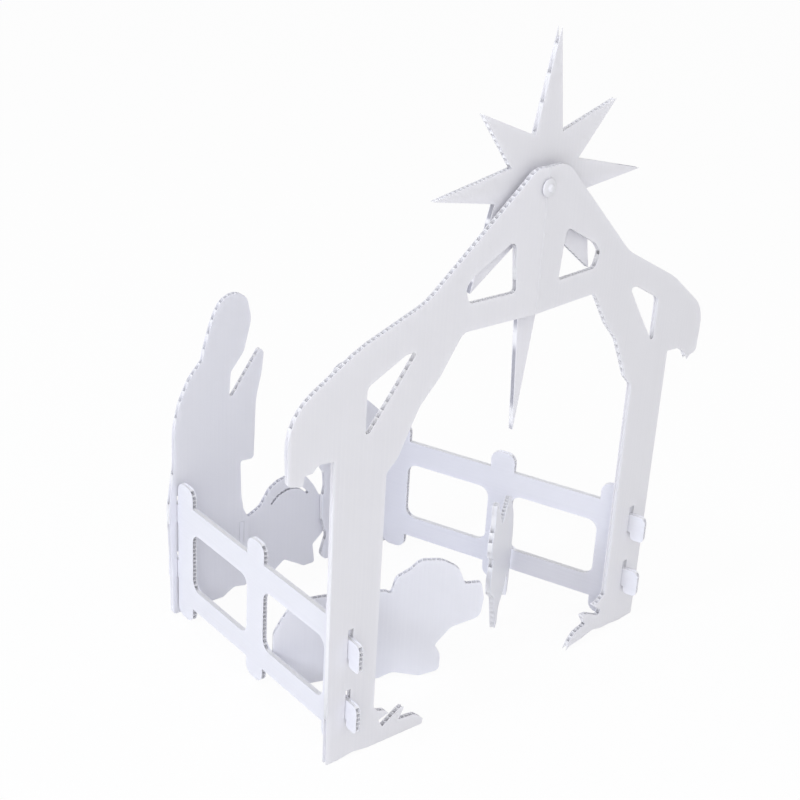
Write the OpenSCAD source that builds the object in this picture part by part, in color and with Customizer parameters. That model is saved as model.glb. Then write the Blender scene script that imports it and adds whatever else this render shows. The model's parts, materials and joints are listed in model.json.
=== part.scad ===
// A tabletop nativity scene cut from white twin-wall board. A creased arch stands in front, two fences
// hook into it and run back to two robed figures, a manger stands between the figures, a star turns on
// a screw at the crease, and two lambs stand loose inside.
// X runs along the arch, Y to the rear, Z up, and the floor is at Z = 0.

/* [Board] */
// Thickness of the twin-wall board
board_t = 4; // [3:0.25:5]
// Distance from one rib of the board to the next
flute_pitch = 3.65; // [3.4:0.05:4.5]
// Thickness of the board's two skins
skin_t = 0.45; // [0.35:0.05:0.6]
// Thickness of the ribs between the skins
rib_t = 0.45; // [0.35:0.05:0.6]
// Play on each side of a hook in its slot
slot_play = 0.3; // [0.2:0.05:0.6]
// Play of a board in a hook's neck, on each face
neck_play = 0.5; // [0.3:0.05:1]
// Gap between two boards that lie against each other
face_gap = 0.3; // [0.2:0.05:0.5]

/* [Arch] */
// Height of the roof at the crease
arch_h = 420; // [405:1:440]
// Angle that each half folds back at the crease
fold_deg = 3.6; // [2:0.1:5]
// Gap between the two halves along the crease
crease_gap = 0.3; // [0.2:0.05:0.5]
// Distance from the crease to the outer edge of a leg
leg_out = 169; // [165:1:175]
// Width of a leg
leg_w = 43; // [38:1:48]
// Height at which a leg widens into its brace
brace_z = 225; // [215:1:232]
// Height of the beam's underside at the crease
beam_z = 314.5; // [306:0.5:322]
// Length of the straw tuft at a foot
tuft_l = 45; // [38:1:52]
// Height of the straw tuft at a foot
tuft_h = 30; // [24:1:34]

/* [Right roof] */
// Distance from the crease to the outer end of the right half's flat crown
right_crown_u = 19.5; // [16:0.5:24]
// Distance from the crease to the bend in the right roof
right_shoulder_u = 102.5; // [95:0.5:110]
// Height of the bend in the right roof
right_shoulder_z = 339; // [332:0.5:346]
// Distance from the crease to the right eave
right_eave_u = 212.5; // [205:0.5:220]
// Height of the right eave's outer top corner
right_eave_top_z = 268; // [260:0.5:278]
// Height of the right eave's underside
right_eave_z = 231; // [224:1:240]

/* [Left roof] */
// Distance from the crease to the outer end of the left half's flat crown
left_crown_u = 10.5; // [8:0.5:16]
// Distance from the crease to the bend in the left roof
left_shoulder_u = 99; // [92:0.5:106]
// Height of the bend in the left roof
left_shoulder_z = 342.5; // [336:0.5:350]
// Distance from the crease to the left eave
left_eave_u = 208.5; // [202:0.5:216]
// Height of the left eave's outer top corner
left_eave_top_z = 285.5; // [276:0.5:294]
// Height of the left eave's underside
left_eave_z = 238; // [230:1:244]

/* [Roof windows] */
// Distance from the crease to the window over the beam
window_u = 21; // [18:0.5:25]
// Length of the window over the beam
window_l = 46; // [38:1:52]
// Width of the beam under that window
beam_w = 20; // [16:0.5:24]
// Height of that window at the crease side
window_h = 39; // [32:1:42]
// Distance from the leg's outer edge to the window in the right brace
right_window_in = 21; // [18:0.5:24]
// Width of the window in the right brace
right_window_w = 38.5; // [34:0.5:42]
// Height of the upper edge of the window in the right brace
right_window_z = 308.5; // [303:0.5:311]
// Distance from the leg's outer edge to the window in the left brace
left_window_in = 23.5; // [20:0.5:27]
// Width of the window in the left brace
left_window_w = 41; // [34:0.5:44]
// Height of the upper edge of the window in the left brace
left_window_z = 310; // [306:0.5:313]
// Height of the windows in the braces
brace_window_h = 55; // [46:1:59]

/* [Fences] */
// Length of a fence over its end posts
fence_l = 223.5; // [200:0.5:240]
// Angle of the left fence, turned in towards the middle
left_fence_deg = 3.5; // [0:0.5:6]
// Angle of the right fence, turned in towards the middle
right_fence_deg = 18.7; // [14:0.1:20]
// Height of the fence's underside over the floor
fence_lift = 2; // [1:0.5:4]
// Height of a post
post_h = 122; // [112:1:130]
// Width of a post
post_w = 22; // [18:0.5:26]
// Width of the top rail
top_rail_w = 21; // [17:0.5:23]
// Width of the bottom rail
bottom_rail_w = 19; // [15:0.5:22]
// Distance from a post's top to the top rail
top_rail_drop = 16; // [12:0.5:20]
// Distance from a post's foot to the bottom rail
bottom_rail_rise = 14; // [10:0.5:18]
// Corner radius of the fence's windows
fence_window_r = 9; // [5:0.5:12]
// Corner radius of a post's top
post_r = 8; // [4:0.5:10]

/* [Hooks] */
// Distance from the crease to the slots in a leg
slot_u = 150; // [146:0.5:154]
// Height of the top of the upper hook
hook_z = 102; // [96:0.5:106]
// Distance between the upper and the lower hook
hook_pitch = 51; // [46:0.5:54]
// Height of a hook's head
hook_h = 22.5; // [20:0.5:25]
// How far the head reaches below the neck
hook_lip = 6.5; // [5:0.5:8]
// Length of a hook's head in front of the arch
head_l = 11.5; // [8:0.5:14]
// Length of a hook's head behind a figure
rear_head_l = 8.5; // [7:0.5:12]
// How far a hook can be lifted past its head's height in the slot
lift_play = 1; // [0.5:0.25:2]

/* [Star] */
// Distance from the crown down to the star's screw
star_drop = 14; // [11:0.5:17]
// Distance from the screw to the star's middle, as its hole was cut off the middle
star_shift = 5; // [0:0.5:6]
// Length of the top ray
top_ray = 104.5; // [90:0.5:120]
// Length of an upper diagonal ray
upper_ray = 83.5; // [70:0.5:92]
// Angle from the top ray to an upper diagonal ray
upper_ray_deg = 51; // [42:0.5:54]
// Length of a side ray
side_ray = 101; // [85:0.5:110]
// Length of a lower diagonal ray
lower_ray = 91.5; // [80:0.5:98]
// Angle from the top ray to a lower diagonal ray
lower_ray_deg = 139.5; // [130:0.5:144]
// Length of the bottom ray
bottom_ray = 184; // [150:1:200]
// Distance from the centre to the notches between the rays
notch_r = 38.5; // [32:0.5:44]
// Angle that the star has been turned by
star_tilt = 2.5; // [0:0.5:4]
// Angle that the star can turn each way from there
star_swing = 15; // [5:1:15]

/* [Star screw] */
// Diameter of the screw's head
head_d = 13; // [11:0.5:15]
// Height of the screw's head
head_h = 4.5; // [3.5:0.25:6]
// Diameter of the screw's shank
shank_d = 7; // [6:0.25:8]
// Play round the shank in the arch
shank_play = 0.4; // [0.3:0.05:0.6]
// Running play round the shank in the star
star_play = 0.1; // [0.05:0.05:0.3]
// Height of the nut behind the star
nut_h = 4.5; // [3.5:0.25:6]

/* [Figures] */
// Height of the standing figure
standing_h = 273; // [258:1:290]
// Height of the kneeling figure
kneeling_h = 190; // [182:1:198]
// Distance from the slots to the standing figure's front hem
standing_front = 66.5; // [64:0.5:69]
// Distance from the slots to the kneeling figure's sleeve
kneeling_front = 75; // [71:0.5:78]
// How far the kneeling figure's front draws in below the sleeve
kneeling_in = 8; // [5:0.5:10]

/* [Manger] */
// Height of the manger's rim
rim_z = 67; // [64:0.5:72]
// Height of the bundle over the rim
bundle_h = 27; // [23:0.5:31]
// How far the manger reaches behind each figure
manger_tuck = 8.5; // [7:0.5:10]
// Length of the curved slit over the rim
slit_l = 38; // [32:1:42]
// Rise of the curved slit
slit_rise = 10; // [7:0.5:12]
// Width of the curved slit
slit_w = 2.2; // [1.5:0.1:3]
// Height of the manger's tongue
tongue_h = 28; // [22:0.5:32]

/* [Lambs] */
// Length of the lying lamb
lying_l = 164; // [156:1:167]
// Height of the lying lamb
lying_h = 105; // [98:1:112]
// Angle of the lying lamb to the arch
lying_deg = -29.5; // [-32:0.5:-27]
// Length of the standing lamb
standing_lamb_l = 121; // [114:1:124]
// Height of the standing lamb
standing_lamb_h = 141; // [132:1:148]
// Angle of the standing lamb to the arch
standing_lamb_deg = 35; // [33:0.5:37]

/* [Hidden] */

white = "#f2f3f7";
arc_step = 12;
round_fn = 64;
past = 1;

// Widths and heights at which the outlines of figures, manger and lambs are drawn
standing_drawn = [66.5, 274];
kneeling_drawn = [75, 190];
manger_drawn_l = 95.3;
lying_drawn = [164, 105];
standing_lamb_drawn = [121, 141];

leg_in = leg_out - leg_w;
star_z = arch_h - star_drop;
slot_h = hook_h + lift_play;
hook_heights = [hook_z, hook_z - hook_pitch];

// A fence's length runs along s, from the arch's front face at s = 0. Each neck lets a board through
// at the steepest angle, with the board in the middle of the neck
neck_l = through(right_fence_deg + fold_deg) + 2 * neck_play;
post_s = (neck_l + board_t) / 2;
rear_s = post_s + fence_l + (neck_l - board_t) / 2;

// Where the fences pass the arch's front face and the row of figures
left_slot = slot_u * [-cos(fold_deg), sin(fold_deg)];
right_slot = slot_u * [cos(fold_deg), sin(fold_deg)];
row_start = left_slot + rear_s * [sin(left_fence_deg), cos(left_fence_deg)];
row_end = right_slot + rear_s * [-sin(right_fence_deg), cos(right_fence_deg)];
row_deg = atan2(row_end.y - row_start.y, row_end.x - row_start.x);
row_l = norm(row_end - row_start);

// Angle at which each fence drifts along a board that it passes, on its way to the rear
left_arch_drift = fold_deg - left_fence_deg;
right_arch_drift = fold_deg - right_fence_deg;
left_row_drift = left_fence_deg + row_deg;
right_row_drift = row_deg - right_fence_deg;

// The manger spans from the standing figure to the kneeling figure
manger_start = standing_front - manger_tuck;
manger_l = row_l - kneeling_front + kneeling_in + manger_tuck - manger_start;

// The star hangs behind the fold, clear of it over its whole turn
star_reach = star_shift + lower_ray * sin(180 - lower_ray_deg + star_tilt + star_swing);
star_y = board_t * cos(fold_deg) + star_reach * sin(fold_deg) + face_gap;
head_gap = head_d / 2 * sin(fold_deg) + face_gap;

// The origin lies under the middle of the whole scene
front_y = -head_gap - head_h;
rear_y = left_slot.y + (post_s + fence_l + neck_l + rear_head_l) * cos(left_fence_deg)
    + board_t / 2 * sin(left_fence_deg);
mid_y = (front_y + rear_y) / 2;

// Where the lying lamb's tail end and the standing lamb's face stand
lying_place = [-139.7, 109.2];
standing_lamb_place = [10.8, 31.4];

function unit(v) = v / norm(v);
function spin(v, a) = [v.x * cos(a) - v.y * sin(a), v.x * sin(a) + v.y * cos(a)];

// Points of one corner at p, rounded by r or by what its sides allow
function corner(before, p, after, r) =
    let (
        a = unit(before - p),
        b = unit(after - p),
        half = acos(max(-1, min(1, a * b))) / 2,
        reach = min(r / tan(half), norm(before - p) / 2, norm(after - p) / 2),
        turn = 180 - 2 * half,
        steps = max(1, ceil(turn / arc_step)),
        centre = p + unit(a + b) * reach / cos(half),
        way = cross(a, b) > 0 ? -1 : 1
    )
    [for (i = [0:steps]) centre + spin(p + a * reach - centre, way * turn * i / steps)];

// An outline from [x, z, radius] corners
function outline(list) = [
    for (i = [0:len(list) - 1])
        let (
            n = len(list),
            flat = [for (k = [i + n - 1, i, i + 1]) [list[k % n].x, list[k % n].y]]
        )
        each (list[i].z > 0 ? corner(flat[0], flat[1], flat[2], list[i].z) : [flat[1]])
];

// Corners drawn at one width and height, brought to another
function resized(list, drawn, size) =
    let (sx = size.x / drawn.x, sz = size.y / drawn.y)
    [for (p = list) [p.x * sx, p.y * sz, p.z * sx]];

// Width that a board takes where it passes through another at an angle
function through(drift) = board_t / cos(drift) + board_t * abs(tan(drift));

// A board stood upright, cut to an outline and by its children: the outline's y becomes height and its
// front face lies at y = 0. The flutes run up the board, or along it, as in the fences
module upright(points, along = false) {
    xs = [for (p = points) p.x];
    ends = along ? [fence_lift, fence_lift + post_h] : [min(xs), max(xs)];
    count = ceil((ends[1] - ends[0] - rib_t) / flute_pitch);
    reach = 2 * arch_h;
    difference() {
        translate([0, board_t, 0]) rotate([90, 0, 0]) linear_extrude(board_t) difference() {
            polygon(points);
            children();
        }
        for (i = [0:count - 1])
            translate([0, skin_t, ends[0] * (along ? 1 : 0)])
                if (along)
                    translate([-reach / 2, 0, rib_t + i * flute_pitch])
                        cube([reach, board_t - 2 * skin_t, flute_pitch - rib_t]);
                else
                    translate([ends[0] + rib_t + i * flute_pitch, 0, -past])
                        cube([flute_pitch - rib_t, board_t - 2 * skin_t, reach]);
    }
}

// Both slots for a fence that crosses the board's front face at x
module slots(x, drift) {
    width = through(drift) + 2 * slot_play;
    centre = x + board_t / 2 * tan(drift);
    for (top = hook_heights)
        translate([centre - width / 2, top - hook_h + hook_lip]) square([width, slot_h]);
}

// Each half of the arch runs from the crease at u = 0 outwards, and was cut by hand, so that its roof,
// eave and foot have a line of their own
function right_roof_points() = [
    [0, arch_h, 0],
    [right_crown_u, arch_h, 22],
    [right_shoulder_u, right_shoulder_z, 40],
    [leg_out - 3, right_eave_top_z + 37, 60],
    [right_eave_u + 0.5, right_eave_top_z, 30],
    [right_eave_u - 1.5, right_eave_z, 4],
    [right_eave_u - 9.5, right_eave_z - 1.5, 0],
    [right_eave_u - 13, right_eave_z - 4.5, 0],
    [right_eave_u - 17.5, right_eave_z + 3, 3],
    [right_eave_u - 27.5, right_eave_z + 9, 4],
    [leg_out + 1, right_eave_z + 10.5, 1]
];

function left_roof_points() = [
    [0, arch_h, 0],
    [left_crown_u, arch_h, 22],
    [left_shoulder_u, left_shoulder_z, 40],
    [leg_out - 17, left_eave_top_z + 36, 60],
    [left_eave_u, left_eave_top_z, 48],
    [left_eave_u - 2.5, left_eave_z - 1, 3],
    [left_eave_u - 14, left_eave_z - 3.8, 1],
    [left_eave_u - 15, left_eave_z + 3.8, 2],
    [left_eave_u - 21.5, left_eave_z + 4, 2],
    [left_eave_u - 26, left_eave_z + 9, 2],
    [leg_out + 1, left_eave_z + 7.8, 1]
];

// Three straws lean out of each foot
function right_foot_points() = [
    [leg_out - 1, 0, 1.5],
    [leg_out - 19, 0, 0],
    [leg_out - 34, 2, 10],
    [leg_in, 2.5, 6],
    [leg_in - 12, 5.5, 12],
    [leg_in - 26, 3, 10],
    [leg_in - tuft_l + 5, 2, 0],
    [leg_in - tuft_l, 0, 0],
    [leg_in - tuft_l + 3, 6, 4],
    [leg_in - tuft_l + 10, 12.5, 8],
    [leg_in - tuft_l / 2, 15, 1],
    [leg_in - tuft_l / 2 - 6, tuft_h - 4, 0.5],
    [leg_in - tuft_l / 2 + 1, tuft_h - 5, 3],
    [leg_in - 5.5, 17, 2],
    [leg_in - 3, 21, 0],
    [leg_in - 14, tuft_h - 0.5, 0.5],
    [leg_in - 8, tuft_h, 3],
    [leg_in, tuft_h + 5, 3]
];

function left_foot_points() = [
    [leg_out - 1.5, 0, 1.5],
    [leg_out - 12, 0, 0],
    [leg_out - 25, 2, 10],
    [leg_in + 4, 0, 8],
    [leg_in - tuft_l - 2, 0, 1],
    [leg_in - tuft_l - 3, 4.5, 2],
    [leg_in - tuft_l + 5, 11.5, 8],
    [leg_in - tuft_l / 2 - 1.5, 13, 1],
    [leg_in - tuft_l / 2 - 6.5, tuft_h - 7.5, 0.5],
    [leg_in - tuft_l / 2 - 3.5, tuft_h - 6, 3],
    [leg_in - 9, 13, 1],
    [leg_in - 5, 20.5, 0.5],
    [leg_in - 14.5, tuft_h - 7, 0.5],
    [leg_in - 10.5, tuft_h - 3, 3],
    [leg_in - 4, tuft_h - 1, 3],
    [leg_in, tuft_h + 4, 3]
];

function brace_points() = [
    [leg_in, brace_z, 6],
    [leg_in - 9, brace_z + 9, 10],
    [leg_in - 17.5, brace_z + 27, 14],
    [leg_in - 26, brace_z + 44, 16],
    [leg_in - 42, beam_z - 28, 20],
    [leg_in - 55, beam_z - 7.5, 12],
    [leg_in - 60, beam_z, 8],
    [0, beam_z, 0]
];

function roof_window_points() = [
    [window_u, beam_z + beam_w, 3],
    [window_u + window_l - 4, beam_z + beam_w, 5],
    [window_u + window_l, beam_z + beam_w + 12, 5],
    [window_u + window_l - 7, beam_z + beam_w + 19.5, 8],
    [window_u + 4, beam_z + beam_w + window_h, 4]
];

// The window in a brace lies at [inset, width, upper edge]
function brace_window_points(window) =
    let (
        w = window[1],
        top = window[2],
        right = leg_out - window[0],
        left = right - w,
        bottom = top - brace_window_h
    )
    [
        [left, top, 2],
        [left + w / 4, top - 1, 6],
        [right, top - 17, 6],
        [right, bottom, 2],
        [right - w / 3, bottom + 17.5, 10],
        [left + w / 3, top - 19, 10]
    ];

module arch_half(edge_points, window, drift) {
    reach = 2 * leg_out;
    difference() {
        upright(outline(concat(edge_points, brace_points()))) {
            polygon(outline(roof_window_points()));
            polygon(outline(brace_window_points(window)));
            slots(slot_u, drift);
        }
        // Mitre along the crease
        rotate([0, 0, -fold_deg])
            translate([-reach + crease_gap / 2, -board_t, -past])
                cube([reach, 4 * board_t, arch_h + 2 * past]);
        // Half of the screw's hole
        translate([0, 2 * board_t, star_z]) rotate([90, 0, 0])
            cylinder(h = 3 * board_t, d = shank_d + 2 * shank_play, $fn = round_fn);
    }
}

module arch_right() {
    color(white) placed() rotate([0, 0, fold_deg])
        arch_half(
            concat(right_roof_points(), right_foot_points()),
            [right_window_in, right_window_w, right_window_z], right_arch_drift
        );
}

module arch_left() {
    color(white) placed() mirror([1, 0, 0]) rotate([0, 0, fold_deg])
        arch_half(
            concat(left_roof_points(), left_foot_points()),
            [left_window_in, left_window_w, left_window_z], left_arch_drift
        );
}

module placed() {
    translate([0, -mid_y, 0]) children();
}

// Rays and notches of the star's one side, as [angle from the top ray, radius]
star_side = [
    [21.5, notch_r - 2],
    [upper_ray_deg, upper_ray],
    [67.5, notch_r - 3],
    [90.5, side_ray],
    [101.5, notch_r + 7.5],
    [lower_ray_deg, lower_ray],
    [157.5, notch_r + 1]
];

function ray_tip(angle, radius) = radius * [sin(angle), cos(angle)];

module star() {
    points = concat(
        [ray_tip(0, top_ray)],
        [for (p = star_side) ray_tip(p[0], p[1])],
        [ray_tip(180, bottom_ray)],
        [for (i = [len(star_side) - 1:-1:0]) ray_tip(-star_side[i][0], star_side[i][1])]
    );
    color(white) placed() translate([0, star_y, star_z]) rotate([0, star_tilt, 0])
        upright([for (p = points) p + [star_shift, 0]])
            circle(d = shank_d + 2 * star_play, $fn = round_fn);
}

// The screw's head lies in front of the crease, its shank carries the star
module star_screw() {
    shank_l = head_gap + star_y + board_t + face_gap + nut_h;
    color(white) placed() translate([0, -head_gap, star_z]) rotate([-90, 0, 0]) {
        translate([0, 0, -head_h]) cylinder(h = head_h * 0.6, d1 = head_d - 2, d2 = head_d, $fn = round_fn);
        translate([0, 0, -head_h * 0.4]) cylinder(h = head_h * 0.4, d = head_d, $fn = round_fn);
        cylinder(h = shank_l, d = shank_d, $fn = round_fn);
    }
}

module star_nut() {
    color(white) placed() translate([0, star_y + board_t + face_gap, star_z]) rotate([-90, 0, 0])
        difference() {
            cylinder(h = nut_h, d = head_d, $fn = round_fn);
            translate([0, 0, -past]) cylinder(h = nut_h + 2 * past, d = shank_d, $fn = round_fn);
        }
}

// A hook grows out of the post's edge at x = 0 towards +x, or towards -x where way is -1
function hook_points(top, way, head) = [
    for (p = [
        [-past, top - hook_h + hook_lip, 0],
        [neck_l, top - hook_h + hook_lip, 1],
        [neck_l, top - hook_h, 5],
        [neck_l + head, top - hook_h, 3],
        [neck_l + head, top, 5.5],
        [-past, top, 0]
    ])
    [way * p.x, p.y, p.z]
];

function rounded_box(x0, z0, x1, z1, r) = outline([[x0, z0, r], [x0, z1, r], [x1, z1, r], [x1, z0, r]]);

// Two rails in one plate, open in the two bays between the posts
module rails(bay) {
    low = fence_lift + bottom_rail_rise;
    high = fence_lift + post_h - top_rail_drop;
    start = post_w / 2;
    end = fence_l - start;
    upright([[start, low], [start, high], [end, high], [end, low]], along = true)
        for (i = [0:1])
            translate([post_w + i * (post_w + bay), 0])
                polygon(rounded_box(0, low + bottom_rail_w, bay, high - top_rail_w, fence_window_r));
}

module fence_board() {
    bay = (fence_l - 3 * post_w) / 2;
    rails(bay);
    for (i = [0:2])
        translate([i * (post_w + bay), 0, 0])
            upright(rounded_box(0, fence_lift, post_w, fence_lift + post_h, post_r), along = true);
    for (top = hook_heights) {
        upright(outline(hook_points(top, -1, head_l)), along = true);
        translate([fence_l, 0, 0])
            upright(outline(hook_points(top, 1, rear_head_l)), along = true);
    }
}

// A fence board centred on the line from its slot in the arch to the row of figures
module fence(place, deg) {
    placed() translate([place.x, place.y, 0]) rotate([0, 0, deg])
        translate([post_s, -board_t / 2, 0]) fence_board();
}

module left_fence() {
    color(white) fence(left_slot, 90 - left_fence_deg);
}

module right_fence() {
    color(white) fence(right_slot, 90 + right_fence_deg);
}

// Figures and manger stand in one row behind the fences, x running along the row from the left slots
module row() {
    placed() translate([row_start.x, row_start.y, 0]) rotate([0, 0, row_deg]) children();
}

function robe_points() = [
    [-6.3, 0, 3],
    [-7, 40, 40],
    [-9.5, 100, 40],
    [-4.2, 137, 30],
    [-4, 168, 40],
    [1, 190, 40],
    [10, 209, 30],
    [21.8, 222, 2]
];

// A plain hood over a bowed head
function hood_points() = [
    [23.5, 230, 4],
    [31, 255, 30],
    [38, 268, 14],
    [49, 274, 14],
    [62, 270, 16],
    [67, 249, 22],
    [60, 222, 14],
    [48, 207, 6]
];

// Joined hands held up in front of the chest
function hands_points() = [
    [46.5, 181, 2],
    [75.8, 222.5, 3],
    [79, 217, 5],
    [77.5, 201, 30],
    [72.2, 178, 40],
    [70.8, 124, 3],
    [58, 124.8, 2],
    [59.3, 92, 30],
    [61.5, 79, 12]
];

function hem_points() = [
    [66.5, 69, 4],
    [66.2, 3.5, 3],
    [53, 6.5, 8],
    [42, 0, 4]
];

module standing_figure() {
    corners = resized(
        concat(robe_points(), hood_points(), hands_points(), hem_points()),
        standing_drawn, [standing_front, standing_h]
    );
    color(white) row() upright(outline(corners)) {
        slots(0, left_row_drift);
        tongue_slot();
    }
}

// The kneeling figure's x runs back from its slots towards the manger
function kneeling_points() = [
    [9.5, 0, 3],
    [10.5, 60, 30],
    [9, 110, 20],
    [-4, 128, 20],
    [-28, 151, 16],
    [-37, 158, 6],
    [-35, 176, 14],
    [-47, 190, 14],
    [-62, 183, 12],
    [-62, 164, 9],
    [-56, 156, 3],
    [-66, 142, 6],
    [-76, 140, 4],
    [-75, 128, 6],
    [-62, 118, 8],
    [-75, 101, 4],
    [kneeling_in - 75.5, 88, 12],
    [kneeling_in - 74.5, 76, 8],
    [kneeling_in - 77, 62, 12],
    [kneeling_in - 76.5, 44, 16],
    [kneeling_in - 71, 26, 10],
    [kneeling_in - 76.5, 9, 5],
    [kneeling_in - 73, 3, 4],
    [-51, 0, 4]
];

module kneeling_figure() {
    corners = resized(kneeling_points(), kneeling_drawn, [kneeling_front, kneeling_h]);
    color(white) row() translate([row_l, 0, 0]) upright(outline(corners)) slots(0, right_row_drift);
}

// The manger's tongue, bent forward at its left end, passes through this slot
module tongue_slot() {
    translate([manger_start - slot_play, rim_z - tongue_h - slot_play])
        square([board_t + 2 * slot_play, tongue_h + 2 * slot_play]);
}

// A bundle lies over the rim of a trough on crossed legs, x running from the tongue
function manger_points() = [
    [0, rim_z - tongue_h, 1],
    [0, rim_z, 1],
    [13, rim_z, 10],
    [24, rim_z + 5.5, 8],
    [33, rim_z + 19.5, 12],
    [42, rim_z + bundle_h - 2.5, 12],
    [54, rim_z + bundle_h, 20],
    [68, rim_z + bundle_h - 3, 14],
    [78, rim_z + 11, 16],
    [85, rim_z - 2, 6],
    [manger_drawn_l, rim_z - 6, 3],
    [manger_drawn_l, 36, 3],
    [88, 26.5, 4],
    [79, 18.8, 2],
    [81.5, 0, 2],
    [70, 0, 1],
    [63, 4.5, 3],
    [49, 13, 2],
    [31, 0, 1],
    [22, 1, 2],
    [27, 20, 3],
    [17, 30, 4]
];

module manger_slit() {
    half_l = slit_l / 2;
    bend = (half_l * half_l + slit_rise * slit_rise) / (2 * slit_rise);
    sweep = asin(half_l / bend);
    steps = ceil(2 * sweep / arc_step);
    angles = [for (i = [0:steps]) 90 + sweep - 2 * sweep * i / steps];
    translate([manger_l * 0.56, rim_z + 4.5 + slit_rise - bend])
        polygon(concat(
            [for (a = angles) (bend + slit_w / 2) * [cos(a), sin(a)]],
            [for (i = [steps:-1:0]) (bend - slit_w / 2) * [cos(angles[i]), sin(angles[i])]]
        ));
}

module manger() {
    corners = resized(manger_points(), [manger_drawn_l, 1], [manger_l, 1]);
    color(white) row() translate([manger_start, board_t + face_gap, 0]) {
        upright(outline(corners)) manger_slit();
        translate([0, -board_t - face_gap, rim_z - tongue_h])
            cube([board_t, board_t + face_gap + past, tongue_h]);
    }
}

function lying_lamb_points() = [
    [6, 4, 8],
    [0, 20, 12],
    [0, 48, 14],
    [6, 60, 10],
    [12, 69.5, 12],
    [28, 77.5, 20],
    [60, 80.5, 40],
    [86, 79.5, 3],
    [90, 77, 3],
    [93.5, 91, 8],
    [104, 97, 8],
    [112, 105, 10],
    [129, 104, 14],
    [142.5, 96, 14],
    [148, 81.5, 3],
    [161, 82, 3],
    [164, 68, 14],
    [162, 51, 8],
    [139, 43, 10],
    [127, 27.5, 4],
    [132, 18, 6],
    [132, 4, 5],
    [116, 0, 6],
    [94, 5.5, 10],
    [83, 0.5, 6],
    [60, 2, 8],
    [40, 2.5, 8],
    [20, 0, 4]
];

module lying_lamb() {
    corners = resized(lying_lamb_points(), lying_drawn, [lying_l, lying_h]);
    color(white) placed() translate([lying_place.x, lying_place.y, 0]) rotate([0, 0, lying_deg])
        upright(outline(corners));
}

function standing_lamb_points() = [
    [118, 0, 1],
    [109, 0, 1],
    [108.5, 20, 3],
    [102, 27, 4],
    [95, 20, 6],
    [84, 16, 8],
    [67, 14, 4],
    [65, 0, 1],
    [56, 0, 1],
    [47, 18, 10],
    [33, 44, 12],
    [12, 59, 6],
    [7, 76, 12],
    [15, 90, 6],
    [1, 98, 5],
    [0, 111, 6],
    [8, 126, 10],
    [4, 141, 3],
    [16, 140, 5],
    [28, 124, 10],
    [50, 101, 12],
    [66, 108, 16],
    [84, 113, 14],
    [98, 96, 20],
    [113, 80, 20],
    [120, 62, 20],
    [121, 26, 8],
    [120, 12, 4]
];

module standing_lamb() {
    corners = resized(
        standing_lamb_points(), standing_lamb_drawn, [standing_lamb_l, standing_lamb_h]
    );
    color(white) placed() translate([standing_lamb_place.x, standing_lamb_place.y, 0])
        rotate([0, 0, standing_lamb_deg]) upright(outline(corners));
}

arch_left();
arch_right();
star();
star_screw();
star_nut();
left_fence();
right_fence();
standing_figure();
kneeling_figure();
manger();
lying_lamb();
standing_lamb();
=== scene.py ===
"""A tabletop nativity scene cut from white twin-wall board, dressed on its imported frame.

The boards keep the shapes of the frame's solids and get a fluted finish. The star's screw and nut and the
score along the arch's crease are modelled here. The camera stands where the photograph was taken, in a
pale studio.
"""

import json
import logging
import math
from dataclasses import dataclass
from enum import Enum
from typing import Any, Callable, Union

import bpy
from mathutils import Matrix, Vector

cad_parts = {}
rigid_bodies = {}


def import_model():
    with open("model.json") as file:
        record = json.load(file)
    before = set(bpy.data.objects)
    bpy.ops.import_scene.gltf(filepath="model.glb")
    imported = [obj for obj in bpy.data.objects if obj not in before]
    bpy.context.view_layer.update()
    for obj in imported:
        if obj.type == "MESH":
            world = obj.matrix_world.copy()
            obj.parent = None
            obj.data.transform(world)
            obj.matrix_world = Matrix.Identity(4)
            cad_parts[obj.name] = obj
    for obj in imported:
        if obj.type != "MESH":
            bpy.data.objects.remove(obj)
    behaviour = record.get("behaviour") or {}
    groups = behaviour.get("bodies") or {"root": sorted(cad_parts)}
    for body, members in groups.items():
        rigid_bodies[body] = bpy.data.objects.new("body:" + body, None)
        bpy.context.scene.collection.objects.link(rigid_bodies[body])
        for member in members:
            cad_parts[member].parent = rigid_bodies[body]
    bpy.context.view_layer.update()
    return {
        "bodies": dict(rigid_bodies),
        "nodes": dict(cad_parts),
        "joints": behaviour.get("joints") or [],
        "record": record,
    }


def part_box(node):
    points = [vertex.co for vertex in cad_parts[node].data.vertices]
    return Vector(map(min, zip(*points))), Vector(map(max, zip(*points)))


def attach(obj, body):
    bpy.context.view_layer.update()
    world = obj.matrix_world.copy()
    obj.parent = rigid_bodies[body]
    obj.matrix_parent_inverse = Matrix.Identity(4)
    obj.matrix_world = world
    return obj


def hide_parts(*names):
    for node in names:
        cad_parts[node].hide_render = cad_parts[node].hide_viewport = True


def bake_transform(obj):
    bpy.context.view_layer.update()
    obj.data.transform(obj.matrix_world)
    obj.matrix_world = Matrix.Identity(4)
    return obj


LOG = logging.getLogger("nativity")

MM = 0.001
SAME_PLACE = 0.01 * MM
SAME_WAY = 0.9
NOISE_AVERAGE = 0.5
PLASTIC_IOR = 1.49
WHITE_RAYS = ("Camera", "Glossy", "Transmission")

Colour = tuple[float, float, float]
Place = tuple[float, float, float]

WHITE: Colour = (1.0, 1.0, 1.0)


class FluteWay(Enum):
    """Which way the flutes run in a board."""

    UP = "up"
    ALONG = "along"


class Pick(Enum):
    """What is selected in edit mode."""

    FACES = "FACE"
    POINTS = "VERT"


class End(Enum):
    """An end of a round piece that lies along Y."""

    FRONT = -1
    BACK = 1


@dataclass(frozen=True)
class Noise:
    """A noise pattern: its scale per metre, and how many finer layers it has."""

    scale: float
    detail: float = 2.0


def opaque(colour: Colour) -> tuple[float, float, float, float]:
    """Returns a colour with full alpha, as a colour socket takes it."""
    return (*colour, 1.0)


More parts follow.
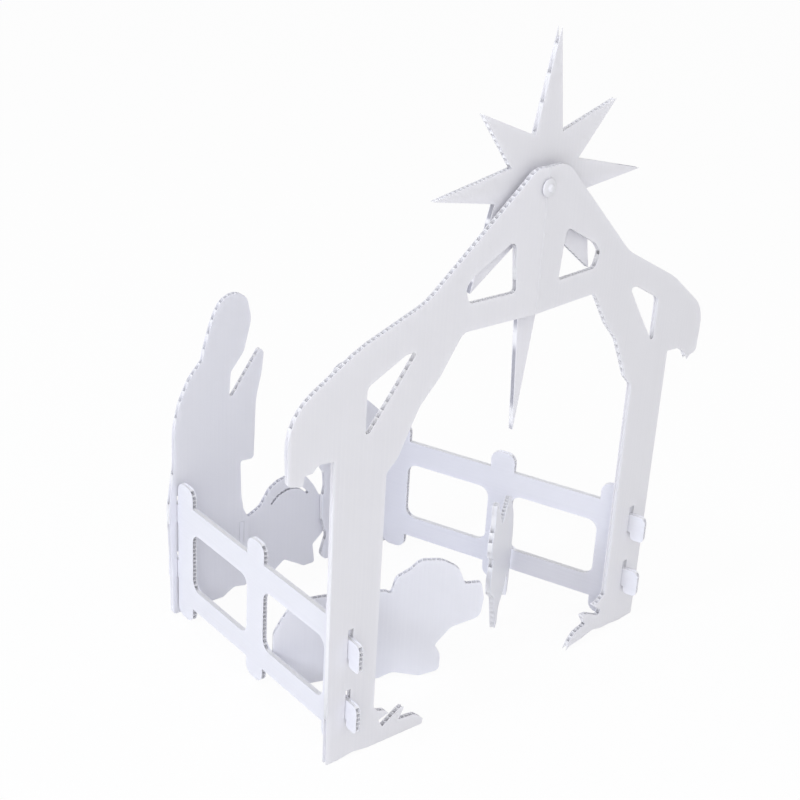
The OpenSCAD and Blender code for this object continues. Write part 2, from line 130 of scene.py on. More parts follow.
class Sum:
    """A shader socket that takes part in Python arithmetic."""

    def __init__(self, bench: "Bench", socket: bpy.types.NodeSocket) -> None:
        """Wraps a socket of the bench's node tree."""
        self.bench = bench
        self.socket = socket

    def _math(self, operation: str, *values: Union["Sum", float]) -> "Sum":
        """Adds one Math node.

        Args:
            operation: the Math node's operation.
            values: sockets or numbers for its inputs, in order.

        Returns:
            The node's result.
        """
        made = self.bench.add("ShaderNodeMath", {"operation": operation}, dict(enumerate(values)))
        return Sum(self.bench, made.outputs[0])

    def __add__(self, other: Union["Sum", float]) -> "Sum":
        """Returns self + other."""
        return self._math("ADD", self, other)

    __radd__ = __add__

    def __sub__(self, other: Union["Sum", float]) -> "Sum":
        """Returns self - other."""
        return self._math("SUBTRACT", self, other)

    def __rsub__(self, other: float) -> "Sum":
        """Returns other - self."""
        return self._math("SUBTRACT", other, self)

    def __mul__(self, other: Union["Sum", float]) -> "Sum":
        """Returns self * other."""
        return self._math("MULTIPLY", self, other)

    __rmul__ = __mul__

    def __truediv__(self, other: float) -> "Sum":
        """Returns self / other."""
        return self._math("DIVIDE", self, other)

    def fraction(self) -> "Sum":
        """Returns the part after the decimal point."""
        return self._math("FRACT", self)

    def size(self) -> "Sum":
        """Returns the absolute value."""
        return self._math("ABSOLUTE", self)

    def off_average(self) -> "Sum":
        """Returns how far a noise lies from its average."""
        return (self - NOISE_AVERAGE).size()

    def below(self, limit: float, soft: float) -> "Sum":
        """Returns 1 where the value is under the limit and 0 over it.

        Args:
            limit: where the change lies.
            soft: half the width over which it changes.

        Returns:
            A mask from 0 to 1.
        """
        spans = {"From Min": limit - soft, "From Max": limit + soft, "To Min": 1.0, "To Max": 0.0}
        settings = {"interpolation_type": "SMOOTHSTEP"}
        made = self.bench.add("ShaderNodeMapRange", settings, {"Value": self, **spans})
        return Sum(self.bench, made.outputs["Result"])


class Bench:
    """Builds one node tree, of a material or of the world."""

    def __init__(self, owner: Union[bpy.types.Material, bpy.types.World]) -> None:
        """Starts with an empty tree on its owner."""
        owner.use_nodes = True
        self.owner = owner
        self.tree = owner.node_tree
        self.tree.nodes.clear()

    @classmethod
    def material(cls, name: str) -> "Bench":
        """Starts an empty material of the given name."""
        return cls(bpy.data.materials.new(name))

    def add(self, kind: str, settings: dict[str, Any], inputs: dict[Any, Any]) -> bpy.types.Node:
        """Adds a node, its settings first and then its sockets.

        Args:
            kind: the node's type.
            settings: its properties.
            inputs: values, Sums or sockets by input name or number.

        Returns:
            The node.
        """
        made = self.tree.nodes.new(kind)
        for name, value in settings.items():
            setattr(made, name, value)
        for name, value in inputs.items():
            if isinstance(value, Sum):
                value = value.socket
            if isinstance(value, bpy.types.NodeSocket):
                self.tree.links.new(value, made.inputs[name])
            else:
                made.inputs[name].default_value = value
        return made

    def blend(self, factor: Sum, first: Any, second: Any) -> bpy.types.NodeSocket:
        """Mixes two colours.

        Args:
            factor: 0 gives the first colour and 1 the second.
            first: a colour or a socket.
            second: a colour or a socket.

        Returns:
            The mixed colour's socket.
        """
        made = self.add("ShaderNodeMix", {"data_type": "RGBA"}, {0: factor, 6: first, 7: second})
        return made.outputs[2]

    def place(self) -> bpy.types.NodeSocket:
        """Returns the socket of the object's own coordinates."""
        return self.add("ShaderNodeTexCoord", {}, {}).outputs["Object"]

    def noise(self, place: bpy.types.NodeSocket, noise: Noise) -> Sum:
        """Adds a noise texture.

        Args:
            place: the socket of the coordinates.
            noise: its scale and layers.

        Returns:
            The noise, about NOISE_AVERAGE on average.
        """
        sockets = {"Vector": place, "Scale": noise.scale, "Detail": noise.detail}
        return Sum(self, self.add("ShaderNodeTexNoise", {}, sockets).outputs[0])

    def bump(self, height: Sum) -> bpy.types.NodeSocket:
        """Returns the normal of a surface raised by a height in metres."""
        sockets = {"Strength": 1.0, "Distance": 1.0, "Height": height}
        return self.add("ShaderNodeBump", {}, sockets).outputs[0]

    def white_to(self) -> Sum:
        """Returns 1 for the rays that see the floor and the world as white."""
        path = self.add("ShaderNodeLightPath", {}, {})
        camera, glossy, through = (Sum(self, path.outputs[f"Is {kind} Ray"]) for kind in WHITE_RAYS)
        return camera + glossy + through

    def finish(self, shader: bpy.types.NodeSocket, output: str = "ShaderNodeOutputMaterial") -> Any:
        """Links a shader to the output.

        Args:
            shader: the shader's socket.
            output: the type of the output node.

        Returns:
            The material or world that the tree belongs to.
        """
        self.add(output, {}, {"Surface": shader})
        return self.owner


@dataclass(frozen=True)
class Plane:
    """Where a board stands: the turn of its face about the upright axis, and a point on its front."""

    yaw_deg: float
    x: float = 0.0
    y: float = 0.0


@dataclass(frozen=True)
class Room:
    """The room of a round frame node on an axis along Y, with its front and back ends."""

    x: float
    z: float
    radius: float
    front: float
    back: float

    @classmethod
    def of(cls, node: str) -> "Room":
        """Measures a frame node."""
        low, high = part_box(node)
        return cls((low[0] + high[0]) / 2, (low[2] + high[2]) / 2, (high[0] - low[0]) / 2, low[1], high[1])


@dataclass(frozen=True)
class BoardFinish:
    """White twin-wall board: milky skins that sink a little between the ribs and are painted darker there
    as painted shade, with walls inside painted paler as painted light through the thin skins.

    Attributes:
        skin: the skins' colour.
        sunk: a darker colour: painted shade where they sink, and their own random tone along streaks and in
            faint clouds.
        hollow: the colour of the cut edge and the walls between the skins, paler than the skin as painted
            light through the thin skins.
        cell_shade: the painted shade of a cell that stands open at the cut edge where the solid is full.
        pitch: from one rib to the next.
        rib: half the width of a rib.
        rib_soft: how softly a rib's side ends, as a share of the pitch.
        thickness: the board's.
        skin_thickness: the depth of one skin.
        skin_soft: how softly it ends inwards.
        sag: the pattern of how far the skins sink.
        sag_gain: how strongly that pattern shows.
        sag_less: what is taken off it, so that some places stay level.
        streak: the pattern of the streaks, on drawn-out coordinates.
        streak_places: how many streaks lie side by side in a metre.
        streak_run: how many follow one another in a metre of their length.
        waves: the pattern of slow waves.
        clouds: the pattern of faint clouds.
        grain: the pattern of the finest grain.
        gloss: the pattern of duller and glossier places.
        dip_shade_share: how much of the sunk colour the sunken places take, as painted shade.
        streak_share: how much of it the streaks take.
        cloud_share: how much of it the clouds take.
        inner_light_share: how much of the hollow's paler colour the cut edge takes, as painted light.
        cell_shade_share: how much of that painted shade a cell takes.
        cell_soft: how softly the painted cells end.
        rib_bump: how deep the skins sink, in metres.
        wave_bump: the height of the waves.
        streak_bump: the height of the streaks.
        grain_bump: the height of the grain.
        roughness: the middle roughness.
        roughness_spread: from the glossiest to the dullest place.
        milky: the share of light that enters the plastic.
        glow_reach: how far it spreads there.
    """

    skin: Colour = (0.840, 0.835, 0.885)
    sunk: Colour = (0.800, 0.795, 0.850)
    hollow: Colour = (0.92, 0.92, 0.95)
    cell_shade: Colour = (0.30, 0.30, 0.36)
    pitch: float = 3.65 * MM
    rib: float = 0.45 * MM
    rib_soft: float = 0.08
    thickness: float = 4.0 * MM
    skin_thickness: float = 0.45 * MM
    skin_soft: float = 0.05 * MM
    sag: Noise = Noise(22.0, 1.0)
    sag_gain: float = 1.3
    sag_less: float = 0.15
    streak: Noise = Noise(1.0, 3.0)
    streak_places: float = 340.0
    streak_run: float = 7.0
    waves: Noise = Noise(14.0, 1.0)
    clouds: Noise = Noise(9.0, 3.0)
    grain: Noise = Noise(900.0)
    gloss: Noise = Noise(60.0)
    dip_shade_share: float = 0.35
    streak_share: float = 1.4
    cloud_share: float = 0.5
    inner_light_share: float = 0.8
    cell_shade_share: float = 0.8
    cell_soft: float = 0.3 * MM
    rib_bump: float = 0.04 * MM
    wave_bump: float = 0.5 * MM
    streak_bump: float = 0.05 * MM
    grain_bump: float = 0.01 * MM
    roughness: float = 0.42
    roughness_spread: float = 0.12
    milky: float = 0.4
    glow_reach: float = 1.0 * MM

    def axes(self, bench: Bench, place: bpy.types.NodeSocket, plane: Plane) -> tuple[Sum, Sum, Sum]:
        """Turns the object's coordinates with the board.

        Args:
            bench: the material's bench.
            place: the socket of the object's coordinates.
            plane: where the board stands.

        Returns:
            The way along the board, the depth behind its front and the height.
        """
        sockets = {
            "Vector": place,
            "Location": (plane.x, plane.y, 0.0),
            "Rotation": (0.0, 0.0, math.radians(plane.yaw_deg)),
        }
        turned = bench.add("ShaderNodeMapping", {"vector_type": "TEXTURE"}, sockets)
        split = bench.add("ShaderNodeSeparateXYZ", {}, {"Vector": turned.outputs[0]})
        return Sum(bench, split.outputs[0]), Sum(bench, split.outputs[1]), Sum(bench, split.outputs[2])

    def between_ribs(self, across: Sum) -> Sum:
        """Returns 1 over the flutes and 0 on the ribs."""
        half = 0.5
        phase = (across / self.pitch).fraction() - half
        return phase.size().below(half - self.rib / self.pitch, self.rib_soft)

    def between_skins(self, depth: Sum) -> Sum:
        """Returns 1 between the two skins and 0 in them."""
        half = self.thickness / 2
        return (depth - half).size().below(half - self.skin_thickness, self.skin_soft)

    def material(
        self, name: str, plane: Plane, way: FluteWay, full_below: float = 0.0
    ) -> bpy.types.Material:
        """Makes the finish for one board.

        Args:
            name: the material's name.
            plane: where the board stands.
            way: which way its flutes run.
            full_below: the height under which the solid is full and the shade of its open cells is painted
                on the cut edge.

        Returns:
            The material.
        """
        bench = Bench.material(name)
        place = bench.place()
        along, depth, height = self.axes(bench, place, plane)
        across, lengthwise = (along, height) if way is FluteWay.UP else (height, along)
        between = self.between_ribs(across)
        inside = self.between_skins(depth)
        drawn_out = {0: across * self.streak_places, 1: lengthwise * self.streak_run}
        streak = bench.noise(bench.add("ShaderNodeCombineXYZ", {}, drawn_out).outputs[0], self.streak)
        sunken = between * (bench.noise(place, self.sag) * self.sag_gain - self.sag_less)
        cloud = bench.noise(place, self.clouds)
        sunk = opaque(self.sunk)
        # Painted shade: the sunken places between the ribs are darkened towards the sunk colour; the
        # streaks add random tone.
        dip_shade_and_streak = sunken * self.dip_shade_share + streak.off_average() * self.streak_share
        skin = bench.blend(dip_shade_and_streak, opaque(self.skin), sunk)
        skin = bench.blend(cloud.off_average() * self.cloud_share, skin, sunk)
        # Painted light: the cut edge and the walls between the skins take a colour paler than the skin.
        colour = bench.blend(inside * self.inner_light_share, skin, opaque(self.hollow))
        if full_below > 0.0:
            # Painted shade: below that height the open cells are painted dark on the full solid's cut edge.
            painted_cell_shade = inside * between * height.below(full_below, self.cell_soft)
            colour = bench.blend(painted_cell_shade * self.cell_shade_share, colour, opaque(self.cell_shade))
        relief = bench.noise(place, self.waves) * self.wave_bump - sunken * self.rib_bump
        relief = relief + streak * self.streak_bump + bench.noise(place, self.grain) * self.grain_bump
        least = self.roughness - self.roughness_spread / 2
        shader = bench.add(
            "ShaderNodeBsdfPrincipled",
            {},
            {
                "Base Color": colour,
                "Roughness": bench.noise(place, self.gloss) * self.roughness_spread + least,
                "IOR": PLASTIC_IOR,
                "Subsurface Weight": self.milky,
                "Subsurface Radius": (1.0, 1.0, 1.0),
                "Subsurface Scale": self.glow_reach,
                "Normal": bench.bump(relief),
            },
        )
        return bench.finish(shader.outputs[0])


@dataclass(frozen=True)
class MouldedFinish:
    """Moulded white plastic of the star's screw and nut.

    Attributes:
        colour: its colour.
        shade: how dark its darker clouds are, as a share of the colour.
        clouds: the pattern of the clouds.
        grain: the pattern of the mould's grain.
        grain_bump: the grain's height, in metres.
        roughness: its roughness.
    """

    colour: Colour = (0.80, 0.80, 0.84)
    shade: float = 0.93
    clouds: Noise = Noise(120.0)
    grain: Noise = Noise(700.0)
    grain_bump: float = 0.02 * MM
    roughness: float = 0.32

    def material(self, name: str) -> bpy.types.Material:
        """Makes the finish under the given name."""
        bench = Bench.material(name)
        place = bench.place()
        red, green, blue = self.colour
        darker = (self.shade * red, self.shade * green, self.shade * blue)
        colour = bench.blend(bench.noise(place, self.clouds), opaque(self.colour), opaque(darker))
        shader = bench.add(
            "ShaderNodeBsdfPrincipled",
            {},
            {
                "Base Color": colour,
                "Roughness": self.roughness,
                "IOR": PLASTIC_IOR,
                "Normal": bench.bump(bench.noise(place, self.grain) * self.grain_bump),
            },
        )
        return bench.finish(shader.outputs[0])


def dress(node: bpy.types.Object, material: bpy.types.Material) -> None:
    """Gives a frame node one material in all its slots.

    Args:
        node: the frame's object.
        material: its new finish.
    """
    if not node.material_slots:
        node.data.materials.append(material)
    for slot in node.material_slots:
        slot.material = material


def front_of(frame: dict, node: str, yaw_deg: float) -> Plane:
    """Works out the front of a board from its node's points.

    Args:
        node: the board's node.
        yaw_deg: the turn of its face.

    Returns:
        A plane whose depth is 0 on the board's front skin.
    """
    normal = Vector((-math.sin(math.radians(yaw_deg)), math.cos(math.radians(yaw_deg)), 0.0))
    nearest = min(vertex.co.dot(normal) for vertex in frame["nodes"][node].data.vertices)
    return Plane(yaw_deg, normal.x * nearest, normal.y * nearest)


def choose(piece: bpy.types.Object, pick: Pick, wanted: Callable[[Any], bool]) -> None:
    """Goes into edit mode with only the wanted faces or points selected.

    Args:
        piece: the piece that is worked on.
        pick: whether faces or points are selected.
        wanted: tells whether a face or point is selected.
    """
    bpy.ops.object.mode_set(mode="EDIT")
    bpy.ops.mesh.select_mode(type=pick.value)
    bpy.ops.mesh.select_all(action="DESELECT")
    bpy.ops.object.mode_set(mode="OBJECT")
    for part in piece.data.polygons if pick is Pick.FACES else piece.data.vertices:
        part.select = wanted(part)
    bpy.ops.object.mode_set(mode="EDIT")


@dataclass(frozen=True)
class Layout:
    """The angles at which the boards stand, repeated from the frame's own driving sizes."""

    fold_deg: float = 3.6
    left_fence_deg: float = 3.5
    right_fence_deg: float = 18.7
    row_deg: float = -3.2
    lying_deg: float = -29.5
    standing_lamb_deg: float = 35.0


@dataclass
class Boards:
    """Every board of the scene, with the turn of its face and the way of its flutes; all but the arch and
    the star take a bluer copy of the finish as painted bluish light.
    """

    layout: Layout = Layout()
    warm: BoardFinish = BoardFinish()
    # A copy of the finish tinted bluer: painted bluish light on the fences, figures and lambs.
    bluish_lit: BoardFinish = BoardFinish(skin=(0.838, 0.842, 0.915), sunk=(0.798, 0.802, 0.880))
    warm_boards: tuple[str, ...] = ("arch_left", "arch_right", "star")

    def turns(self) -> dict[str, tuple[float, FluteWay]]:
        """Returns each board node's yaw and flute direction."""
        lay = self.layout
        return {
            "arch_left": (-lay.fold_deg, FluteWay.UP),
            "arch_right": (lay.fold_deg, FluteWay.UP),
            "star": (0.0, FluteWay.UP),
            "left_fence": (90 - lay.left_fence_deg, FluteWay.ALONG),
            "right_fence": (90 + lay.right_fence_deg, FluteWay.ALONG),
            "standing_figure": (lay.row_deg, FluteWay.UP),
            "kneeling_figure": (lay.row_deg, FluteWay.UP),
            "manger": (lay.row_deg, FluteWay.UP),
            "lying_lamb": (lay.lying_deg, FluteWay.UP),
            "standing_lamb": (lay.standing_lamb_deg, FluteWay.UP),
        }

    def build(self, frame: dict) -> None:
        """Dresses each board of the frame.
        """
        hole_height = Room.of("star_screw").z
        for node, (yaw_deg, way) in self.turns().items():
            # The arch and the star keep the plain finish; the other boards get the bluer copy as painted
            # bluish light.
            finish = self.warm if node in self.warm_boards else self.bluish_lit
            full_below = hole_height if node == "star" else 0.0
            plane = front_of(frame, node, yaw_deg)
            dress(frame["nodes"][node], finish.material("board_" + node, plane, way, full_below))
            LOG.info("dressed %s", node)


class Lathe:
    """Models one round piece on an axis along Y, growing the ends of a short rod ring by ring."""

    SIDES = 72
    ON_AXIS = 0.5 * MM
    WELD = 0.001 * MM
    EDGE_SEGMENTS = 2
    EDGE_LIMIT_DEG = 35.0
    SMOOTH_DEG = 40.0

    def __init__(self, name: str, room: Room, radius: float, front: float, back: float) -> None:
        """Starts with a rod.

        Args:
            name: the piece's name.
            room: the room of its node, which gives the axis.
            radius: the rod's radius.
            front: the rod's front end, the lower Y.
            back: its back end.
        """
        bpy.ops.object.select_all(action="DESELECT")
        bpy.ops.mesh.primitive_cylinder_add(
            vertices=self.SIDES,
            radius=radius,
            depth=back - front,
            location=(room.x, (front + back) / 2, room.z),
            rotation=(math.pi / 2, 0.0, 0.0),
        )
        self.piece = bpy.context.active_object
        self.piece.name = name
        bpy.ops.object.transform_apply(location=True, rotation=True, scale=True)
        self.room = room
        self.ends = {End.FRONT: (front, radius), End.BACK: (back, radius)}

    def grow(self, end: End, rings: list[tuple[float, float]]) -> None:
        """Extrudes one end through the rings of a profile.

        Args:
            end: which end grows.
            rings: the radius and the Y of each ring.
        """
        y, radius = self.ends[end]

        def at_end(face: bpy.types.MeshPolygon) -> bool:
            """Tells whether a face closes the growing end."""
            return end.value * face.normal.y > SAME_WAY and abs(face.center.y - y) < SAME_PLACE

        choose(self.piece, Pick.FACES, at_end)
        for new_radius, new_y in rings:
            bpy.ops.mesh.extrude_region_move(TRANSFORM_OT_translate={"value": (0.0, new_y - y, 0.0)})
            scale = new_radius / radius
            centre = (self.room.x, new_y, self.room.z)
            bpy.ops.transform.resize(value=(scale, 1.0, scale), center_override=centre)
            y, radius = new_y, new_radius
        bpy.ops.object.mode_set(mode="OBJECT")
        self.ends[end] = (y, radius)

    def hollow(self, radius: float) -> None:
        """Opens a hole from end to end, of the given radius at the back."""
        front, back = self.ends[End.FRONT][0], self.ends[End.BACK][0]

        def at_ends(face: bpy.types.MeshPolygon) -> bool:
            """Tells whether a face closes either end."""
            off = min(abs(face.center.y - front), abs(face.center.y - back))
            return abs(face.normal.y) > SAME_WAY and off < SAME_PLACE

        choose(self.piece, Pick.FACES, at_ends)
        bpy.ops.mesh.inset(thickness=self.ends[End.BACK][1] - radius, depth=0.0)
        bpy.ops.mesh.bridge_edge_loops()
        bpy.ops.object.mode_set(mode="OBJECT")

    def ribs(self, every: int, height: float) -> None:
        """Raises grip ribs on the outer wall.

        Args:
            every: a rib stands on every such face round the wall.
            height: how far it stands out.
        """

        def on_rib(face: bpy.types.MeshPolygon) -> bool:
            """Tells whether a face of the wall carries a rib."""
            out = Vector((face.center.x - self.room.x, 0.0, face.center.z - self.room.z))
            turn = int((math.atan2(out.z, out.x) % math.tau) / math.tau * self.SIDES)
            on_wall = out.length > self.ON_AXIS and face.normal.dot(out.normalized()) > SAME_WAY
            return on_wall and turn % every == 0

        choose(self.piece, Pick.FACES, on_rib)
        bpy.ops.mesh.extrude_faces_move(TRANSFORM_OT_shrink_fatten={"value": height})
        bpy.ops.object.mode_set(mode="OBJECT")

    def done(self, edge: float, material: bpy.types.Material) -> bpy.types.Object:
        """Closes the mesh, rounds its edges and gives the piece its finish.

        Args:
            edge: the width of the rounding.
            material: the finish.

        Returns:
            The piece.
        """
        bpy.ops.object.mode_set(mode="EDIT")
        bpy.ops.mesh.select_all(action="SELECT")
        bpy.ops.mesh.remove_doubles(threshold=self.WELD)
        bpy.ops.mesh.normals_make_consistent(inside=False)
        bpy.ops.object.mode_set(mode="OBJECT")
        rounding = self.piece.modifiers.new("edge", "BEVEL")
        rounding.width = edge
        rounding.segments = self.EDGE_SEGMENTS
        rounding.limit_method = "ANGLE"
        rounding.angle_limit = math.radians(self.EDGE_LIMIT_DEG)
        bpy.ops.object.modifier_apply(modifier=rounding.name)
        bpy.ops.object.shade_smooth_by_angle(angle=math.radians(self.SMOOTH_DEG))
        self.piece.data.materials.append(material)
        return self.piece


@dataclass
class StarScrew:
    """The moulded screw and nut that carry the star.

    Attributes:
        finish: their finish.
        edge: the rounding of their edges.
        shank_radius: the shank's radius.
        head_height: from the seat on the arch to the end of the knob.
        head: the rings of the flange and the dome, in mm inside the rim and in front of the seat.
        knob_radius: the knob's radius.
        knob: the knob's rings, in mm inside that radius and in front of the seat.
        bore: the rings of the hollow in the shank's end, in mm inside the shank and in front of its end.
        nut_ribs: how far the nut's ribs stand out.
        nut_rib_every: a rib stands on every such side.
        nut_back: how far the nut's back is chamfered inwards and forwards.
        nut_front: how far its front is chamfered inwards and backwards.
    """

    finish: MouldedFinish = MouldedFinish()
    edge: float = 0.18 * MM
    shank_radius: float = 3.5 * MM
    head_height: float = 4.5 * MM
    head: tuple[tuple[float, float], ...] = ((0.1, 0.0), (0.0, 0.4), (0.15, 1.0), (0.9, 1.5), (2.2, 1.95))
    knob_radius: float = 2.9 * MM
    knob: tuple[tuple[float, float], ...] = (
        (-0.25, 2.15),
        (0.0, 2.6),
        (0.15, 3.3),
        (0.5, 3.75),
        (1.0, 3.95),
        (1.5, 4.225),
    )
    bore: tuple[tuple[float, float], ...] = ((0.9, 0.0), (1.2, 3.0))
    nut_ribs: float = 0.35 * MM
    nut_rib_every: int = 4
    nut_back: tuple[float, float] = (0.7 * MM, 0.6 * MM)
    nut_front: tuple[float, float] = (0.3 * MM, 1.0 * MM)

    def build(self) -> None:
        """Models the screw and its nut in the room their nodes hold."""
        material = self.finish.material("moulded_plastic")
        for piece, node in ((self.screw(material), "star_screw"), (self.nut(material), "star_nut")):
            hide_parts(node)
            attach(piece, "left_wing")
            LOG.info("modelled %s", piece.name)

    def rings(
        self, profile: tuple[tuple[float, float], ...], radius: float, y: float
    ) -> list[tuple[float, float]]:
        """Places a profile.

        Args:
            profile: each ring's distance inside the radius and in front of the Y, in mm.
            radius: the radius that it starts from.
            y: the Y that it starts from.

        Returns:
            Each ring's radius and Y, in metres.
        """
        return [(radius - inside * MM, y - ahead * MM) for inside, ahead in profile]

    def screw(self, material: bpy.types.Material) -> bpy.types.Object:
        """Models the screw: a low flange, a shallow dome, a stepped knob, and a shank with a hollow end."""
        room = Room.of("star_screw")
        seat = room.front + self.head_height
        work = Lathe("star_screw_moulding", room, self.shank_radius, seat, room.back)
        head = self.rings(self.head, room.radius, seat) + self.rings(self.knob, self.knob_radius, seat)
        work.grow(End.FRONT, head)
        work.grow(End.BACK, self.rings(self.bore, self.shank_radius, room.back))
        return work.done(self.edge, material)

    def nut(self, material: bpy.types.Material) -> bpy.types.Object:
        """Models the nut: a ribbed collar round the shank."""
        room = Room.of("star_nut")
        rim = room.radius - self.nut_ribs
        front, back = room.front + self.nut_front[1], room.back - self.nut_back[1]
        work = Lathe("star_nut_moulding", room, rim, front, back)
        work.ribs(self.nut_rib_every, self.nut_ribs)
        work.grow(End.BACK, [(rim - self.nut_back[0], room.back)])
        work.grow(End.FRONT, [(rim - self.nut_front[0], room.front)])
        work.hollow(self.shank_radius)
        return work.done(self.edge, material)


@dataclass
class Crease:
    """The score down the middle of the arch: a groove between two soft lips.

    Attributes:
        finish: the board's finish.
        width: the width of the strip of skin that is modelled.
        groove: how far the groove's bottom still stands in front of the arch.
        lip: how far the lips stand in front of the groove.
        sunk: how far the strip's sides lie in the arch.
        wall: the strip's thickness.
        reach: how near the fold the arch's own points are looked for.
        columns: the strip's columns of faces.
        rows: its rows.
        smooth_deg: the angle up to which its faces are shaded smooth.
    """

    finish: BoardFinish = BoardFinish()
    width: float = 2.4 * MM
    groove: float = 0.04 * MM
    lip: float = 0.34 * MM
    sunk: float = 0.12 * MM
    wall: float = 0.3 * MM
    reach: float = 0.4 * MM
    columns: int = 4
    rows: int = 60
    smooth_deg: float = 50.0

    def strip(self, front: float, low: float, high: float) -> bpy.types.Object:
        """Models the strip over the joint between the arch's halves.

        Args:
            front: the Y of the arch's front at the fold.
            low: the fold's lower end.
            high: its upper end.

        Returns:
            The strip.
        """
        bpy.ops.object.select_all(action="DESELECT")
        bpy.ops.mesh.primitive_grid_add(
            x_subdivisions=self.columns,
            y_subdivisions=self.rows,
            size=1.0,
            location=(0.0, front, (low + high) / 2),
            rotation=(math.pi / 2, 0.0, 0.0),
        )
        strip = bpy.context.active_object
        strip.name = "crease_ridge"
        strip.scale = (self.width, high - low, 1.0)
        bpy.ops.object.transform_apply(location=True, rotation=True, scale=True)
        lines = ((0.0, self.groove), (self.width / 4, self.groove + self.lip), (self.width / 2, -self.sunk))
        for off, forward in lines:
            choose(strip, Pick.POINTS, lambda point, off=off: abs(abs(point.co.x) - off) < SAME_PLACE)
            bpy.ops.transform.translate(value=(0.0, -forward, 0.0))
            bpy.ops.object.mode_set(mode="OBJECT")
        solid = strip.modifiers.new("wall", "SOLIDIFY")
        solid.thickness = self.wall
        solid.offset = -1.0
        bpy.ops.object.modifier_apply(modifier=solid.name)
        bpy.ops.object.shade_smooth_by_angle(angle=math.radians(self.smooth_deg))
        return strip

    def build(self, frame: dict) -> None:
        """Lays the strip on the fold.
        """
        near = [v.co for v in frame["nodes"]["arch_left"].data.vertices if abs(v.co.x) < self.reach]
        front = min(point.y for point in near)
        low, high = min(point.z for point in near), max(point.z for point in near)
        strip = self.strip(front, low, high)
        strip.data.materials.append(
            self.finish.material("board_crease", Plane(0.0, 0.0, front), FluteWay.UP)
        )
        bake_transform(strip)
        LOG.info("modelled %s", strip.name)


@dataclass
class PhotoCamera:
    """The camera that took the photograph, worked out from the arch, the fences and the figures."""

    place: Place = (-0.7554, -0.7989, 0.7102)
    yaw_deg: float = 43.07
    pitch_deg: float = 24.86
    roll_deg: float = 3.32
    focal_px: float = 1556.5
    frame_px: float = 800.0
    sensor: float = 36.0
    nearest: float = 0.05
    farthest: float = 50.0

    def build(self) -> bpy.types.Object:
        """Makes the scene's camera and returns it."""
        yaw, pitch, roll = (math.radians(a) for a in (self.yaw_deg, self.pitch_deg, self.roll_deg))
        ahead = Vector((math.sin(yaw) * math.cos(pitch), math.cos(yaw) * math.cos(pitch), -math.sin(pitch)))
        level = Vector((math.cos(yaw), -math.sin(yaw), 0.0))
        lifted = level.cross(ahead)
        right = math.cos(roll) * level + math.sin(roll) * lifted
        up = -math.sin(roll) * level + math.cos(roll) * lifted
        data = bpy.data.cameras.new("photo_camera")
        data.sensor_width = self.sensor
        data.lens = self.focal_px * self.sensor / self.frame_px
        data.clip_start = self.nearest
        data.clip_end = self.farthest
        camera = bpy.data.objects.new("photo_camera", data)
        bpy.context.scene.collection.objects.link(camera)
        turn = Matrix((right, up, -ahead)).transposed().to_4x4()
        camera.matrix_world = Matrix.Translation(Vector(self.place)) @ turn
        bpy.context.scene.camera = camera
        return camera


@dataclass(frozen=True)
class Lamp:
    """A soft lamp with a square face.

    Attributes:
        name: its name.
        place: where it hangs, in metres.
        size: the side of its face.
        power: its power in watts.
        tint: the colour of its light.
    """

    name: str
    place: Place
    size: float
    power: float
    tint: Colour = WHITE

    def hang(self, aim: Place) -> bpy.types.Object:
        """Hangs the lamp so that it looks at a point, and returns it."""
        data = bpy.data.lights.new(self.name, "AREA")
        data.shape = "SQUARE"
        data.size = self.size
        data.energy = self.power
        data.color = self.tint
        lamp = bpy.data.objects.new(self.name, data)
        bpy.context.scene.collection.objects.link(lamp)
        turn = (Vector(aim) - Vector(self.place)).to_track_quat("-Z", "Y").to_matrix().to_4x4()
        lamp.matrix_world = Matrix.Translation(Vector(self.place)) @ turn
        return lamp


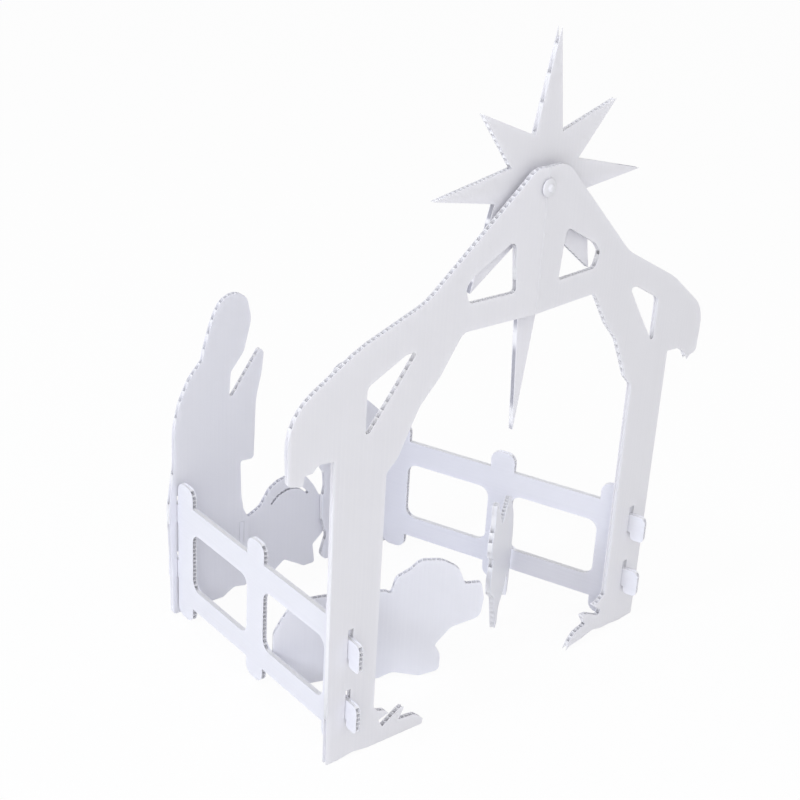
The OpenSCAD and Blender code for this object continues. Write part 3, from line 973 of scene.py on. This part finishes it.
@dataclass
class Studio:
    """A pale floor, a white world and soft lamps.

    Attributes:
        floor_size: the side of the floor.
        floor_colour: its colour where it takes light and shadow.
        white_share: how much plain white the camera sees instead of that.
        world_level: the world's strength as a light.
        aim: the point that the lamps look at.
        lamps: the lamps.
    """

    floor_size: float = 14.0
    floor_colour: Colour = (0.97, 0.97, 0.97)
    white_share: float = 0.93
    world_level: float = 0.67
    aim: Place = (0.0, 0.0, 0.2)
    lamps: tuple[Lamp, ...] = (
        Lamp("key", place=(-3.8, 0.3, 2.3), size=1.0, power=44.0, tint=(0.90, 0.955, 1.08)),
        Lamp("fill", place=(-0.3, -1.0, 1.6), size=0.8, power=1.3),
        Lamp("front", place=(-1.68, -1.78, 1.34), size=0.9, power=11.5),
    )

    def floor(self) -> bpy.types.Object:
        """Makes the floor, which shows near white to the camera and keeps the soft shadows."""
        bpy.ops.object.select_all(action="DESELECT")
        bpy.ops.mesh.primitive_plane_add(size=self.floor_size, location=(0.0, 0.0, 0.0))
        floor = bpy.context.active_object
        floor.name = "floor"
        bench = Bench.material("floor")
        share = bench.white_to() * self.white_share
        matt = bench.add("ShaderNodeBsdfDiffuse", {}, {"Color": opaque(self.floor_colour)})
        glow = bench.add("ShaderNodeEmission", {}, {"Color": opaque(WHITE), "Strength": 1.0})
        mixed = bench.add("ShaderNodeMixShader", {}, {0: share, 1: matt.outputs[0], 2: glow.outputs[0]})
        floor.data.materials.append(bench.finish(mixed.outputs[0]))
        return floor

    def world(self) -> None:
        """Makes an even world, pure white to the camera."""
        bench = Bench(bpy.data.worlds.new("studio"))
        steps = {"Value": bench.white_to(), "To Min": self.world_level, "To Max": 1.0}
        level = bench.add("ShaderNodeMapRange", {}, steps).outputs["Result"]
        glow = bench.add("ShaderNodeBackground", {}, {"Color": opaque(WHITE), "Strength": level})
        bpy.context.scene.world = bench.finish(glow.outputs[0], "ShaderNodeOutputWorld")

    def build(self) -> None:
        """Makes floor, world and lamps."""
        self.floor()
        self.world()
        for lamp in self.lamps:
            lamp.hang(self.aim)


def main() -> None:
    """Builds the scene."""
    logging.basicConfig(level=logging.INFO, format="%(message)s")
    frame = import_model()
    bpy.ops.object.select_all(action="DESELECT")
    PhotoCamera().build()
    Boards().build(frame)
    StarScrew().build()
    Crease().build(frame)
    Studio().build()
    bpy.context.scene.view_settings.view_transform = "Standard"


if __name__ == "__main__":
    main()
